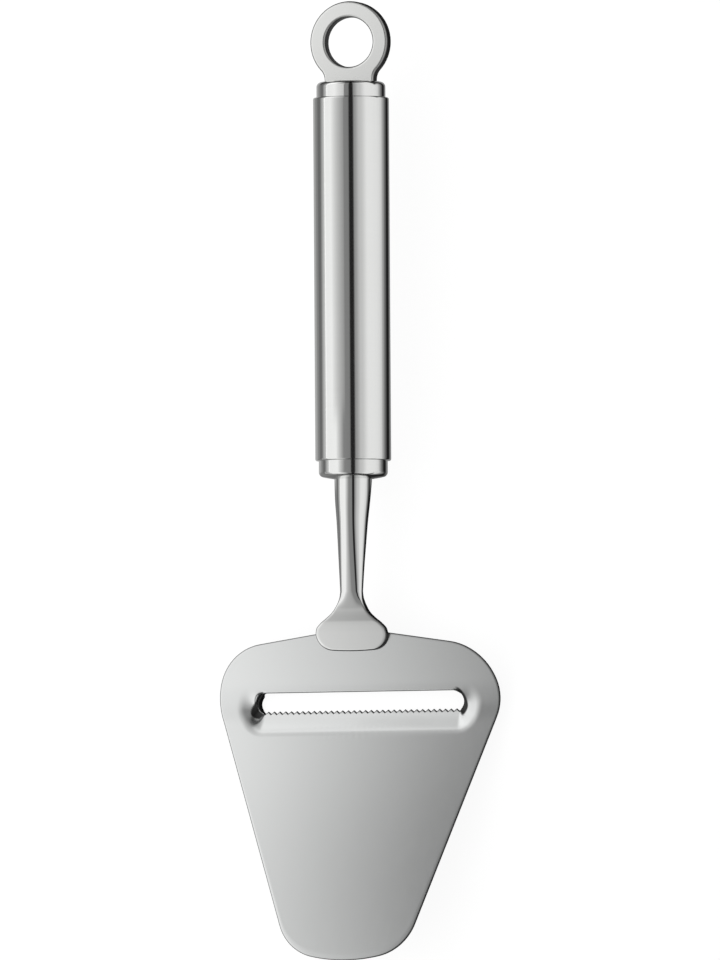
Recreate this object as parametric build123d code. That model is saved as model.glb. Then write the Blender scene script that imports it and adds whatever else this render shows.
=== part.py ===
from build123d import *

import math
import os

os.makedirs("parts", exist_ok=True)

# The slicer is drawn along its handle first: +Y runs up the handle from the tube's lower end,
# +Z is the top side, X is across. At the end every piece is turned into the pose in which
# the slicer lies on a table. Lengths are in millimetres and angles in degrees.

# Handle tube
tube_diameter = 18.0
tube_wall = 0.8
tube_length = 86.2
tube_edge_round = 0.4

# End caps, alike at both ends of the tube but for how far their ends bulge
cap_fit = 0.02
cap_wall = 1.0
cap_rise = 3.6
cap_rim_round = 1.2
cap_skirt = 9.0
upper_cap_crown = 0.5
lower_cap_crown = 1.0

# Hanging ring with its stem, cut from plate
ring_diameter = 19.4
ring_hole_diameter = 11.8
ring_thickness = 3.2
ring_reach = 13.2
ring_edge_round = 0.3
stem_width = 12.3
stem_blend = 3.5
ring_tang = 4.0

# Forged neck and its flat foot
neck_diameter = 9.05
neck_run = 27.4
neck_lift = 1.8
waist_width = 5.5
waist_thickness = 3.1
foot_width = 17.8
foot_thickness = 1.9
foot_grind = 0.12
foot_seat_lead = 0.9
foot_flare_run = 10.0
foot_pad = 4.1
foot_corner = 4.0
foot_end_bow = 0.6
foot_seat = 0.02
tang_diameter = 7.0
neck_tang = 5.0
tang_fit = 0.05

# Blade plate, seen from above
plate_gauge = 1.0
plate_rear = 39.5
plate_rear_fall = 8.5
plate_half_width = 35.2
plate_tip = 118.4
shoulder_share = 0.38
tip_width_share = 0.395
tip_bow_share = 2.83
tip_corner_share = 0.84

# Blade plate, seen from the side: two flats joined by a bend that runs across the slot
bend_place = 58.2
bend_drop = 3.4
bend_radius = 20.6
rear_slope = 16.5
front_slope = 11.8

# Slot and its pressed, toothed lip
slot_rear = 54.6
slot_gap = 4.25
slot_side = 8.4
tooth_side = 2.45
tooth_pitch = 1.43
tooth_depth = 0.65
lip_depth = 2.2
lip_ramp = 5.9
lip_return = 4.6
lip_shelf = 0.85
lip_inset = 1.8
lip_end = 5.0
edge_bevel = 1.9
edge_land = 0.3

# Weld seams
neck_seam = 1.4
ring_seam = 1.2
ring_seam_length = 10.0
foot_seam = 0.8
foot_seam_length = 14.0

# Spacing of the points that shape the plate and how closely its surface and its mesh follow them
grid_step = 0.5
surface_tolerance = 0.001
mesh_tolerance = 0.05

# How near a corner lies to the place where it is looked for, and the overrun of every cut
place_tolerance = 0.001
overrun = 2.0

# Sections of the neck: how far from waist to cap, then the share of the growth in width,
# of the growth in thickness and of the lift that is left
neck_shares = [
    (1.0, 1.00, 1.00, 0.00),
    (0.8, 0.83, 0.81, 0.33),
    (0.6, 0.56, 0.61, 0.54),
    (0.4, 0.36, 0.40, 0.73),
    (0.2, 0.17, 0.18, 0.91),
    (0.0, 0.00, 0.00, 1.00),
]
# Sections of the flare: how far from waist to foot, then the share of the growth in width,
# of the change in thickness and of coming to lie on the plate, and how square the section is
flare_shares = [
    (0.000, 0.000, 0.00, 0.000, 2.0),
    (0.125, 0.016, 0.08, 0.000, 2.1),
    (0.250, 0.065, 0.18, 0.016, 2.3),
    (0.375, 0.155, 0.32, 0.060, 2.6),
    (0.500, 0.295, 0.50, 0.180, 3.2),
    (0.625, 0.520, 0.70, 0.450, 4.5),
    (0.750, 0.775, 0.88, 0.960, 6.5),
    (0.875, 0.950, 1.00, 1.000, 8.0),
    (1.000, 1.000, 1.00, 1.000, 8.0),
]
round_section = 2.0
section_points = 32
lip_ease_share = 0.25

tube_radius = tube_diameter / 2
bore_radius = tube_radius - tube_wall
cap_radius = bore_radius - cap_fit
cap_inside = cap_rise - cap_wall
tang_radius = tang_diameter / 2
ring_y = tube_length + ring_reach
waist_y = -cap_rise - neck_run
foot_y = waist_y - foot_flare_run
foot_end_y = foot_y - foot_pad
tip_half_width = plate_half_width * tip_width_share
taper_slope = (plate_half_width - tip_half_width) / (plate_tip - bend_place)
slot_half_length = plate_half_width - slot_side
lip_half_length = slot_half_length - lip_inset
tooth_count = int(2 * (slot_half_length - tooth_side) / tooth_pitch)
teeth_y = -slot_rear - slot_gap
lip_top_y = teeth_y + lip_shelf


def sheet_height(y):
    """Height of the plate's top face before the lip is pressed."""
    along = y + bend_place
    rear_run = bend_radius * math.sin(math.radians(rear_slope))
    front_run = bend_radius * math.sin(math.radians(front_slope))
    if along > rear_run:
        rise = bend_radius * (1 - math.cos(math.radians(rear_slope)))
        rise += (along - rear_run) * math.tan(math.radians(rear_slope))
    elif along < -front_run:
        rise = bend_radius * (1 - math.cos(math.radians(front_slope)))
        rise += (-along - front_run) * math.tan(math.radians(front_slope))
    else:
        rise = bend_radius - math.sqrt(bend_radius**2 - along**2)
    return rise - bend_drop


def soft_step(share):
    """Goes from 0 to 1 with level ends."""
    share = min(max(share, 0), 1)
    return (1 - math.cos(math.pi * share)) / 2


def soft_ramp(share):
    """Goes from 0 to 1 along a straight ramp with rounded ends."""
    share = min(max(share, 0), 1)
    ease = lip_ease_share
    if share < ease:
        return share**2 / (2 * ease) / (1 - ease)
    if share > 1 - ease:
        return 1 - (1 - share) ** 2 / (2 * ease) / (1 - ease)
    return (share - ease / 2) / (1 - ease)


def press_depth(x, y):
    """How far the lip and its two bowl-shaped ends are pressed below the plate."""
    across = soft_step((lip_half_length + lip_end - abs(x)) / lip_end)
    if y > lip_top_y:
        along = soft_step((lip_top_y + lip_return - y) / lip_return)
    else:
        along = soft_ramp((y - lip_top_y + lip_ramp) / lip_ramp)
    return lip_depth * across * along


def steps(start, end, step):
    """Evenly spaced places from start to end."""
    count = math.ceil(abs(end - start) / step)
    return [start + (end - start) * place / count for place in range(count + 1)]


def revolve_about_handle(points):
    """Turn a closed outline of (radius, y) points about the handle's axis."""
    return revolve(make_face(Polyline(*points, close=True)), axis=Axis.Y)


def corners_at(shape, axis, place):
    """The corners of a shape that lie at one place along an axis."""
    return shape.vertices().filter_by_position(axis, place - place_tolerance, place + place_tolerance)


def plate_outline():
    """The plate from above: sloping rear edges, round shoulders, tapered sides, bowed tip."""
    fall = math.tan(math.radians(plate_rear_fall))
    bow = tip_half_width * tip_bow_share
    # the side line has its stated half width over the bend
    shoulder_x = (plate_half_width + (bend_place - plate_rear) * taper_slope) / (1 + fall * taper_slope)
    shoulder_y = -plate_rear - shoulder_x * fall
    bow_y = bow - plate_tip
    lean = plate_half_width + (bow_y + bend_place) * taper_slope
    square = 1 + taper_slope**2
    corner_y = bow_y - (lean * taper_slope + math.sqrt(bow**2 * square - lean**2)) / square
    corner_x = plate_half_width + (corner_y + bend_place) * taper_slope
    sides = Polyline(
        (-corner_x, corner_y),
        (-shoulder_x, shoulder_y),
        (0, -plate_rear),
        (shoulder_x, shoulder_y),
        (corner_x, corner_y),
    )
    tip = ThreePointArc((corner_x, corner_y), (0, -plate_tip), (-corner_x, corner_y))
    outline = make_face([*sides.edges(), tip])
    outline = fillet(corners_at(outline, Axis.Y, shoulder_y), plate_half_width * shoulder_share)
    return fillet(corners_at(outline, Axis.Y, corner_y), tip_half_width * tip_corner_share)


def slot_outline():
    """The slot from above: straight rear edge, round ends, row of teeth towards the tip."""
    teeth_x = tooth_count * tooth_pitch / 2
    end_x = slot_half_length
    end_y = -slot_rear - slot_gap / 2
    rear_x = end_x - slot_gap / 2
    teeth = []
    for tooth in range(tooth_count):
        root_x = tooth * tooth_pitch - teeth_x
        teeth.append((root_x, teeth_y - tooth_depth))
        teeth.append((root_x + tooth_pitch / 2, teeth_y))
    teeth.append((teeth_x, teeth_y - tooth_depth))
    rear = Line((-rear_x, -slot_rear), (rear_x, -slot_rear))
    right = ThreePointArc((rear_x, -slot_rear), (end_x, end_y), (teeth_x, teeth_y - tooth_depth))
    left = ThreePointArc((-rear_x, -slot_rear), (-end_x, end_y), (-teeth_x, teeth_y - tooth_depth))
    return make_face([rear, right, *Polyline(*teeth).edges(), left])


def through_cut(face):
    """A prism of a plan outline that passes right through the plate."""
    reach = plate_tip * math.tan(math.radians(max(rear_slope, front_slope)))
    return extrude(face, reach, both=True)


def below_plate_top(span, lead, lift):
    """The space under the rear flat's top face, from a little behind the plate's rear edge."""
    start_y = lead - plate_rear
    space = Box(span, span, span, align=(Align.CENTER, Align.MAX, Align.MAX))
    return Pos(0, start_y, sheet_height(start_y) + lift) * Rot(rear_slope, 0, 0) * space


def make_blade_plate():
    xs = steps(-plate_half_width - overrun, plate_half_width + overrun, grid_step)
    ys = steps(-plate_rear + overrun, -plate_tip - overrun, grid_step)
    grid = [[(x, y, sheet_height(y) - press_depth(x, y)) for x in xs] for y in ys]
    sheet = Face.make_surface_from_array_of_points(grid, tol=surface_tolerance, min_deg=3, max_deg=3)
    plate = Solid.extrude(sheet, Vector(0, 0, -plate_gauge))
    plate = plate & through_cut(plate_outline())
    plate = plate - through_cut(slot_outline())
    # the lip is ground from below to a narrow land behind the teeth
    lip_z = sheet_height(teeth_y) - press_depth(0, teeth_y)
    half = lip_half_length + lip_end
    wedge = Polyline(
        (teeth_y + tooth_depth, lip_z - edge_land),
        (teeth_y, lip_z - edge_land),
        (teeth_y - edge_bevel, lip_z - plate_gauge),
        (teeth_y - edge_bevel, lip_z - plate_gauge - overrun),
        (teeth_y + tooth_depth, lip_z - plate_gauge - overrun),
        close=True,
    )
    grind = extrude(Plane.YZ * make_face(wedge), half, both=True)
    return plate - grind


def make_handle_tube():
    tube = revolve_about_handle(
        [(bore_radius, 0), (tube_radius, 0), (tube_radius, tube_length), (bore_radius, tube_length)]
    )
    wall_middle = bore_radius + tube_wall / 2
    rims = [edge for edge in tube.edges().filter_by(GeomType.CIRCLE) if edge.radius > wall_middle]
    return fillet(rims, tube_edge_round)


def make_cap(crown_height):
    """A drawn cup with a crowned end. Its rim plane stands cap_rise above the tube's end."""
    side = Polyline(
        (0, cap_inside),
        (cap_radius - cap_wall, cap_inside),
        (cap_radius - cap_wall, -cap_skirt),
        (cap_radius, -cap_skirt),
        (cap_radius, cap_rise),
    )
    crown_radius = (cap_radius**2 + crown_height**2) / (2 * crown_height)
    crown = RadiusArc((cap_radius, cap_rise), (0, cap_rise + crown_height), -crown_radius)
    axis_line = Line((0, cap_rise + crown_height), (0, cap_inside))
    profile = make_face([*side.edges(), crown, axis_line])
    rim = corners_at(profile, Axis.X, cap_radius).sort_by(Axis.Y)[-1]
    profile = fillet(rim, cap_rim_round)
    return revolve(profile, axis=Axis.Y)


def make_upper_cap():
    cap = Pos(0, tube_length, 0) * make_cap(upper_cap_crown)
    reach = cap_rise + upper_cap_crown
    slit = Box(stem_width + 2 * tang_fit, 2 * reach, ring_thickness + 2 * tang_fit)
    return cap - Pos(0, tube_length + reach, 0) * slit


def make_lower_cap():
    cap = Rot(180, 0, 0) * make_cap(lower_cap_crown)
    reach = cap_rise + lower_cap_crown
    hole = Cylinder(tang_radius + tang_fit, 2 * reach, rotation=(90, 0, 0))
    return cap - Pos(0, -reach, 0) * hole


def make_hanging_ring():
    disc = Pos(0, ring_y) * Circle(ring_diameter / 2)
    stem_end = tube_length + cap_inside - ring_tang
    stem = Pos(0, (ring_y + stem_end) / 2) * Rectangle(stem_width, ring_y - stem_end)
    outline = disc + stem
    low = ring_y - ring_diameter / 2
    inner = outline.vertices().filter_by_position(Axis.Y, low, ring_y)
    outline = fillet(inner, stem_blend)
    outline = outline - Pos(0, ring_y) * Circle(ring_hole_diameter / 2)
    ring = extrude(outline, ring_thickness / 2, both=True)
    sharp = ring.faces().filter_by(Axis.Z).edges()
    sharp = sharp.filter_by_position(Axis.Y, tube_length + cap_rise, ring_y + ring_diameter)
    return fillet(sharp, ring_edge_round)


def neck_section(y, z, width, thickness, squareness):
    """A closed section across the neck, from round to a soft-edged oblong."""
    points = []
    for place in range(section_points):
        turn = 2 * math.pi * place / section_points
        across = math.copysign(abs(math.cos(turn)) ** (2 / squareness), math.cos(turn))
        up = math.copysign(abs(math.sin(turn)) ** (2 / squareness), math.sin(turn))
        points.append((across * width / 2, y, z + up * thickness / 2))
    return Wire([Spline(*points, periodic=True)])


def make_neck_shank(cap):
    sections = []
    for along, width, thickness, lift in neck_shares:
        y = waist_y + neck_run * along
        wide = waist_width + (neck_diameter - waist_width) * width
        thick = waist_thickness + (neck_diameter - waist_thickness) * thickness
        sections.append(neck_section(y, neck_lift * lift, wide, thick, round_section))
    neck = Solid.make_loft(sections)
    sections = []
    for along, width, thickness, seated, squareness in flare_shares:
        y = waist_y - foot_flare_run * along
        wide = waist_width + (foot_width - waist_width) * width
        thick = waist_thickness + (foot_thickness - waist_thickness) * thickness
        seat_z = sheet_height(y) + foot_seat - foot_grind + thick / 2
        z = neck_lift + (seat_z - neck_lift) * seated
        sections.append(neck_section(y, z, wide, thick, squareness))
    neck = neck + Solid.make_loft(sections)
    foot_run = foot_y - foot_end_y + overrun
    along_plate = Vector(0, -foot_run, sheet_height(foot_y - foot_run) - sheet_height(foot_y))
    neck = neck + Solid.extrude(Face(sections[-1]), along_plate)
    # the foot's end is bowed, with round corners
    foot_half = foot_width / 2
    neck_half = foot_half + overrun
    side_y = foot_end_y + foot_end_bow
    right = [(foot_half, side_y), (foot_half, waist_y), (neck_half, waist_y), (neck_half, 0)]
    left = [(-x, y) for x, y in reversed(right)]
    foot_end = ThreePointArc((-foot_half, side_y), (0, foot_end_y), (foot_half, side_y))
    pad = make_face([*Polyline(*right, *left).edges(), foot_end])
    pad = fillet(corners_at(pad, Axis.Y, side_y), foot_corner)
    neck = neck & through_cut(pad)
    # its underside is ground flat to lie on the plate
    neck = neck - below_plate_top(foot_width + overrun, foot_seat_lead, foot_seat)
    tang_start = cap_rise + lower_cap_crown / 2
    tang_length = tang_start + neck_tang - cap_inside
    tang = Cylinder(tang_radius, tang_length, rotation=(90, 0, 0))
    tang = Pos(0, tang_length / 2 - tang_start, 0) * tang
    return (neck + tang) - cap


def make_neck_weld():
    """Seam round the tang, inside the lower cap."""
    corner = -cap_inside
    return revolve_about_handle(
        [(tang_radius, corner), (tang_radius + neck_seam, corner), (tang_radius, corner + neck_seam)]
    )


def make_ring_weld():
    """Two straight seams along the ring's tang, inside the upper cap."""
    face_y = tube_length + cap_inside
    face_z = ring_thickness / 2
    section = Polyline(
        (face_y, face_z), (face_y, face_z + ring_seam), (face_y - ring_seam, face_z), close=True
    )
    seam = extrude(Plane.YZ * make_face(section), ring_seam_length / 2, both=True)
    return Compound([seam, mirror(seam, Plane.XY)])


def make_foot_weld():
    """Quarter-round seam in the corner under the foot, along the plate's rear edge."""
    fall = math.radians(plate_rear_fall)
    reach = foot_seam_length / 2
    corner = Vector(0, -plate_rear, sheet_height(-plate_rear))
    side_y = -plate_rear - reach * math.tan(fall)
    side = Vector(reach, side_y, sheet_height(side_y))
    rods = []
    for way in (-1, 1):
        end = Vector(way * side.X, side.Y, side.Z)
        run = Plane(origin=corner, z_dir=end - corner)
        rods.append(run * extrude(Circle(foot_seam), (end - corner).length))
    rod = rods[0] + rods[1] + Pos(corner) * Sphere(foot_seam)
    span = foot_seam_length + foot_width
    under = below_plate_top(span, foot_seam, 0)
    span_y = -plate_rear - span * math.tan(fall)
    behind = Polyline((0, -plate_rear), (span, span_y), (span, 0), (-span, 0), (-span, span_y), close=True)
    return rod & under & through_cut(make_face(behind))


def rest_tilt(plate):
    """Angle that brings the plate's lowest places level with the bottom of the tube's end."""
    places, _ = plate.tessellate(mesh_tolerance)
    slopes = [math.atan2(place.Z + tube_radius, tube_edge_round - place.Y) for place in places]
    return math.degrees(min(slopes))


lower_cap = make_lower_cap()
pieces = {
    "blade_plate": make_blade_plate(),
    "neck_shank": make_neck_shank(lower_cap),
    "foot_weld": make_foot_weld(),
    "lower_cap": lower_cap,
    "neck_weld": make_neck_weld(),
    "handle_tube": make_handle_tube(),
    "upper_cap": make_upper_cap(),
    "hanging_ring": make_hanging_ring(),
    "ring_weld": make_ring_weld(),
}

# Lay the slicer down on its tube and lip, with the middle of its footprint at the origin
tilt = rest_tilt(pieces["blade_plate"])
laid = {name: Rot(tilt, 0, 0) * piece for name, piece in pieces.items()}
extent = Compound(list(laid.values())).bounding_box()
to_origin = Pos(0, -(extent.min.Y + extent.max.Y) / 2, -extent.min.Z)
laid = {name: to_origin * piece for name, piece in laid.items()}

for name, piece in laid.items():
    export_step(piece, f"parts/{name}.step")
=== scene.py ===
import bpy
import math
import numpy as np
from mathutils import Matrix, Vector


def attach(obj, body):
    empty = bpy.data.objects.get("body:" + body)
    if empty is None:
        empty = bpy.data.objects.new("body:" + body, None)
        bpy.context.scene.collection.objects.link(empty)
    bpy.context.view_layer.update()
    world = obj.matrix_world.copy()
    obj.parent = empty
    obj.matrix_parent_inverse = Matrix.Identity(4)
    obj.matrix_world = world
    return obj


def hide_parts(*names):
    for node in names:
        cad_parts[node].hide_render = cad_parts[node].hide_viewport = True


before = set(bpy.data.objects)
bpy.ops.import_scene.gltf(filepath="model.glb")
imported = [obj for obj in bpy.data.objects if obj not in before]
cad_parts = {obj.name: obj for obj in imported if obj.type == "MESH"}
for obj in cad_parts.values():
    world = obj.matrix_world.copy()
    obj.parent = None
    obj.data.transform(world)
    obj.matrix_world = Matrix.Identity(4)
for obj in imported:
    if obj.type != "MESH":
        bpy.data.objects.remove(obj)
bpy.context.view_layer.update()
mm = 0.001
merge = {"turned": mm / 1000, "grid": mm / 2000}    # vertices closer than this become one
smoothUnder = {"turned": 50, "drawn": 40}           # faces at less than this angle are shaded as one

# The slicer lies on its tube's lower end and its lip. Every piece is drawn along the handle first:
# +Y runs up the handle from the tube's lower end, +Z is the top side, and layDown turns it to rest.
rest = {"tilt": math.radians(2.785), "start": Vector((0, 4.825, 8.970)) * mm}
layTurn = Matrix.Rotation(rest["tilt"], 4, "X")
layMatrix = Matrix.Translation(rest["start"]) @ layTurn


def pick(*objects):
    if bpy.context.mode != "OBJECT":
        bpy.ops.object.mode_set(mode="OBJECT")
    bpy.ops.object.select_all(action="DESELECT")
    for item in objects:
        item.select_set(True)
    if objects:
        bpy.context.view_layer.objects.active = objects[0]


def layDown(piece):
    pick(piece)
    bpy.ops.object.transform_apply(location=True, rotation=True, scale=True)
    piece.matrix_world = layMatrix
    bpy.ops.object.transform_apply(location=True, rotation=True, scale=True)


def applyModifiers(piece):
    pick(piece)
    for modifier in list(piece.modifiers):
        bpy.ops.object.modifier_apply(modifier=modifier.name)


def softenEdges(piece, width, segments, angle=50):
    bevel = piece.modifiers.new("softEdges", "BEVEL")
    bevel.width = width
    bevel.segments = segments
    bevel.limit_method = "ANGLE"
    bevel.angle_limit = math.radians(angle)
    bevel.use_clamp_overlap = True
    flats = piece.modifiers.new("flatFaces", "WEIGHTED_NORMAL")
    flats.keep_sharp = True
    applyModifiers(piece)


def smoothAll(piece, angle):
    pick(piece)
    bpy.ops.object.shade_smooth_by_angle(angle=math.radians(angle))


def markEdgeShadeAndDullness(piece, values):
    # how strongly each vertex is darkened with painted edge shade and dulled, read by the steels
    marks = piece.data.attributes.new("edge", "FLOAT", "POINT")
    marks.data.foreach_set("value", np.asarray(values, np.float32).ravel())


def finishPiece(piece, node, material):
    layDown(piece)
    piece.data.materials.clear()
    piece.data.materials.append(material)
    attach(piece, "root")
    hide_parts(node)


def turnedPiece(name, profile, sides):
    # the closed outline is drawn by extruding one vertex, then spun about the handle's axis
    pick()
    bpy.ops.mesh.primitive_plane_add(size=mm)
    piece = bpy.context.active_object
    piece.name = name
    bpy.ops.object.mode_set(mode="EDIT")
    bpy.ops.mesh.select_all(action="SELECT")
    bpy.ops.mesh.merge(type="CENTER")
    bpy.ops.transform.translate(value=(profile[0][0], profile[0][1], 0))
    for before, after in zip(profile, profile[1:] + profile[:1]):
        step = (after[0] - before[0], after[1] - before[1], 0)
        bpy.ops.mesh.extrude_region_move(TRANSFORM_OT_translate={"value": step})
    bpy.ops.mesh.select_all(action="SELECT")
    bpy.ops.mesh.remove_doubles(threshold=merge["turned"])
    bpy.ops.mesh.spin(steps=sides, angle=2 * math.pi, center=(0, 0, 0), axis=(0, 1, 0))
    bpy.ops.mesh.select_all(action="SELECT")
    bpy.ops.mesh.remove_doubles(threshold=merge["turned"])
    bpy.ops.mesh.normals_make_consistent(inside=False)
    bpy.ops.object.mode_set(mode="OBJECT")
    return piece


def gridPiece(name, columns, rows, place, edge):
    # a grid whose vertices are placed on a form that closes on itself in both directions, then merged
    pick()
    bpy.ops.mesh.primitive_grid_add(x_subdivisions=columns, y_subdivisions=rows, size=1)
    piece = bpy.context.active_object
    piece.name = name
    count = len(piece.data.vertices)
    flat = np.zeros(count * 3)
    piece.data.vertices.foreach_get("co", flat)
    flat = flat.reshape(-1, 3)
    column = np.rint((flat[:, 0] + 0.5) * columns).astype(int)
    row = np.rint((flat[:, 1] + 0.5) * rows).astype(int)
    points = place(column, row)
    piece.data.vertices.foreach_set("co", points.astype(np.float32).ravel())
    markEdgeShadeAndDullness(piece, edge(column, row))
    piece.data.update()
    pick(piece)
    bpy.ops.object.mode_set(mode="EDIT")
    bpy.ops.mesh.select_all(action="SELECT")
    bpy.ops.mesh.remove_doubles(threshold=merge["grid"])
    bpy.ops.mesh.normals_make_consistent(inside=False)
    bpy.ops.object.mode_set(mode="OBJECT")
    return piece


print("camera")

camera = {
    "yaw": 19.0,
    "pitch": -2.5,
    "roll": -0.367,
    "distance": 4500 * mm,
    "offset": (1.598 * mm, -4.50 * mm),
    "pixelsPerMetre": 4221.0,
    "frameHeight": 960,
    "sensor": 36.0,
    "clip": (0.1, 60),
}


def makeCamera(c):
    yaw, pitch, roll = (math.radians(c[key]) for key in ("yaw", "pitch", "roll"))
    back = Vector((math.sin(yaw) * math.cos(pitch), math.sin(pitch), math.cos(yaw) * math.cos(pitch)))
    right = Vector((math.cos(yaw), 0, -math.sin(yaw)))
    up = back.cross(right)
    rolledRight = math.cos(roll) * right + math.sin(roll) * up
    rolledUp = math.cos(roll) * up - math.sin(roll) * right
    place = c["distance"] * back + c["offset"][0] * rolledRight + c["offset"][1] * rolledUp
    axes = Matrix((rolledRight, rolledUp, back)).transposed().to_4x4()
    data = bpy.data.cameras.new("photoCamera")
    data.sensor_width = c["sensor"]
    data.lens = c["pixelsPerMetre"] * c["distance"] / c["frameHeight"] * c["sensor"]
    data.clip_start, data.clip_end = c["clip"]
    item = bpy.data.objects.new("photoCamera", data)
    item.matrix_world = layMatrix @ Matrix.Translation(place) @ axes
    bpy.context.scene.collection.objects.link(item)
    bpy.context.scene.camera = item


makeCamera(camera)

print("studio")

studio = {
    "floorSize": 30.0,
    "floorColour": (0.9, 0.9, 0.9),
    "paperRoughness": 0.9,
    "seenColour": (0.25, 0.25, 0.25),
    "seenGlow": 0.9,
    # painted reflection that polished metal sees on the floor, greys by place across it, the dark ones
    # painted shade:
    # beside the blade, the neck and the handle, and past the handle's end
    "sweepReach": 0.1,
    "paintedReflectionZones": [
        {"tones": [(-0.1, 0.5), (-0.055, 0.05), (0.05, 0.03), (0.1, 0.9)]},
        {"from": -0.036, "full": -0.028, "tones": [
            (-0.1, 0.17), (-0.02, 0.25), (-0.006, 0.16), (0.003, 0.02), (0.012, 0.01), (0.018, 0.3),
            (0.03, 0.8), (0.1, 0.93),
        ]},
        {"from": -0.003, "full": 0.003, "tones": [
            (-0.1, 0.17), (-0.043, 0.28), (-0.026, 0.46), (-0.014, 0.55), (0.004, 0.3), (0.0098, 0.27),
            (0.0124, 0.02), (0.0156, 0.01), (0.0196, 0.15), (0.026, 0.42), (0.035, 0.76), (0.05, 0.88),
            (0.1, 0.93),
        ]},
        {"from": 0.104, "full": 0.118, "tones": [(-0.1, 0.17), (-0.05, 0.04), (0.04, 0.04), (0.1, 0.93)]},
    ],
}

softbox = {
    "across": 0.40,
    "along": 1.00,
    "right": -0.01,
    "middle": 0.10,
    "height": 0.15,
    "strength": 0.82,
    # the light grows from a dark place across the lamp to a bright one; zones follow one another along the
    # lamp, for the rear of the blade, its tip, its middle, the handle, the ring and the pressed lip
    "fades": [
        {"darkAt": -0.008, "brightAt": -0.10},
        {"from": -0.075, "full": -0.045, "darkAt": -0.029, "brightAt": -0.099},
        {"from": -0.03, "full": 0.0, "darkAt": -0.021, "brightAt": -0.0925},
        {"from": 0.012, "full": 0.020, "darkAt": 0.005, "brightAt": -0.14},
        {"from": 0.094, "full": 0.097, "darkAt": 0.08, "brightAt": -0.10},
        {"from": 0.16, "full": 0.25, "darkAt": -0.03, "brightAt": -0.14, "strength": 1.05},
    ],
}

# grey of the studio by azimuth about the handle, from overhead toward the camera's right
surround = [
    (-180, 0.60), (-120, 0.50), (-101, 0.15), (-92, 0.15), (-82, 0.45), (-75, 0.66), (-71, 0.45),
    (-67, 0.22), (-30, 0.25), (-10, 0.27), (9, 0.25), (13, 0.02), (23, 0.02), (28, 0.35), (45, 0.65),
    (70, 0.95), (100, 0.95), (118, 0.8), (130, 0.4), (180, 0.60),
]
# how dark the world grows toward both ends of the handle
endDusk = {"from": 0.72, "full": 0.95, "left": 0.06}


def toneRamp(nodes, tones, reach):
    # a grey ramp whose stops are given at places from -reach to reach
    ramp = nodes.new("ShaderNodeValToRGB")
    ramp.color_ramp.interpolation = "EASE"
    stops = ramp.color_ramp.elements
    while len(stops) < len(tones):
        stops.new(0.5)
    for stop, (place, grey) in zip(stops, tones):
        stop.position = (place / reach + 1) / 2
        stop.color = (grey, grey, grey, 1)
    return ramp


def blendZone(nodes, links, zone, along, before, after):
    # past a place along the floor, one setting takes over softly from the one before
    if before is None:
        return after
    within = nodes.new("ShaderNodeMapRange")
    within.interpolation_type = "SMOOTHSTEP"
    within.inputs["From Min"].default_value = zone["from"]
    within.inputs["From Max"].default_value = zone["full"]
    links.new(along, within.inputs["Value"])
    both = nodes.new("ShaderNodeMix")
    both.data_type = "RGBA"
    links.new(within.outputs["Result"], both.inputs["Factor"])
    links.new(before, both.inputs["A"])
    links.new(after, both.inputs["B"])
    return both.outputs["Result"]


def makeWorld():
    world = bpy.data.worlds.new("studioWorld")
    world.use_nodes = True
    bpy.context.scene.world = world
    tree = world.node_tree
    nodes, links = tree.nodes, tree.links
    background = nodes["Background"]
    coords = nodes.new("ShaderNodeTexCoord")
    turn = nodes.new("ShaderNodeVectorRotate")
    turn.rotation_type = "X_AXIS"
    turn.inputs["Angle"].default_value = -rest["tilt"]
    split = nodes.new("ShaderNodeSeparateXYZ")
    azimuth = nodes.new("ShaderNodeMath")
    azimuth.operation = "ARCTAN2"
    share = nodes.new("ShaderNodeMapRange")
    share.inputs["From Min"].default_value = -math.pi
    share.inputs["From Max"].default_value = math.pi
    ramp = toneRamp(nodes, surround, 180)
    toEnds = nodes.new("ShaderNodeMath")
    toEnds.operation = "ABSOLUTE"
    dusk = nodes.new("ShaderNodeMapRange")
    dusk.interpolation_type = "SMOOTHSTEP"
    dusk.inputs["From Min"].default_value = endDusk["from"]
    dusk.inputs["From Max"].default_value = endDusk["full"]
    dusk.inputs["To Min"].default_value = 1.0
    dusk.inputs["To Max"].default_value = endDusk["left"]
    shaded = nodes.new("ShaderNodeVectorMath")
    shaded.operation = "SCALE"
    lightPath = nodes.new("ShaderNodeLightPath")
    seen = nodes.new("ShaderNodeMix")
    seen.data_type = "RGBA"
    seen.inputs["B"].default_value = (1, 1, 1, 1)
    links.new(coords.outputs["Generated"], turn.inputs["Vector"])
    links.new(turn.outputs["Vector"], split.inputs["Vector"])
    links.new(split.outputs["X"], azimuth.inputs[0])
    links.new(split.outputs["Z"], azimuth.inputs[1])
    links.new(azimuth.outputs["Value"], share.inputs["Value"])
    links.new(share.outputs["Result"], ramp.inputs["Fac"])
    links.new(lightPath.outputs["Is Camera Ray"], seen.inputs["Factor"])
    links.new(split.outputs["Y"], toEnds.inputs[0])
    links.new(toEnds.outputs["Value"], dusk.inputs["Value"])
    links.new(ramp.outputs["Color"], shaded.inputs["Vector"])
    links.new(dusk.outputs["Result"], shaded.inputs["Scale"])
    links.new(shaded.outputs["Vector"], seen.inputs["A"])
    links.new(seen.outputs["Result"], background.inputs["Color"])
    background.inputs["Strength"].default_value = 1.0


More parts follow.
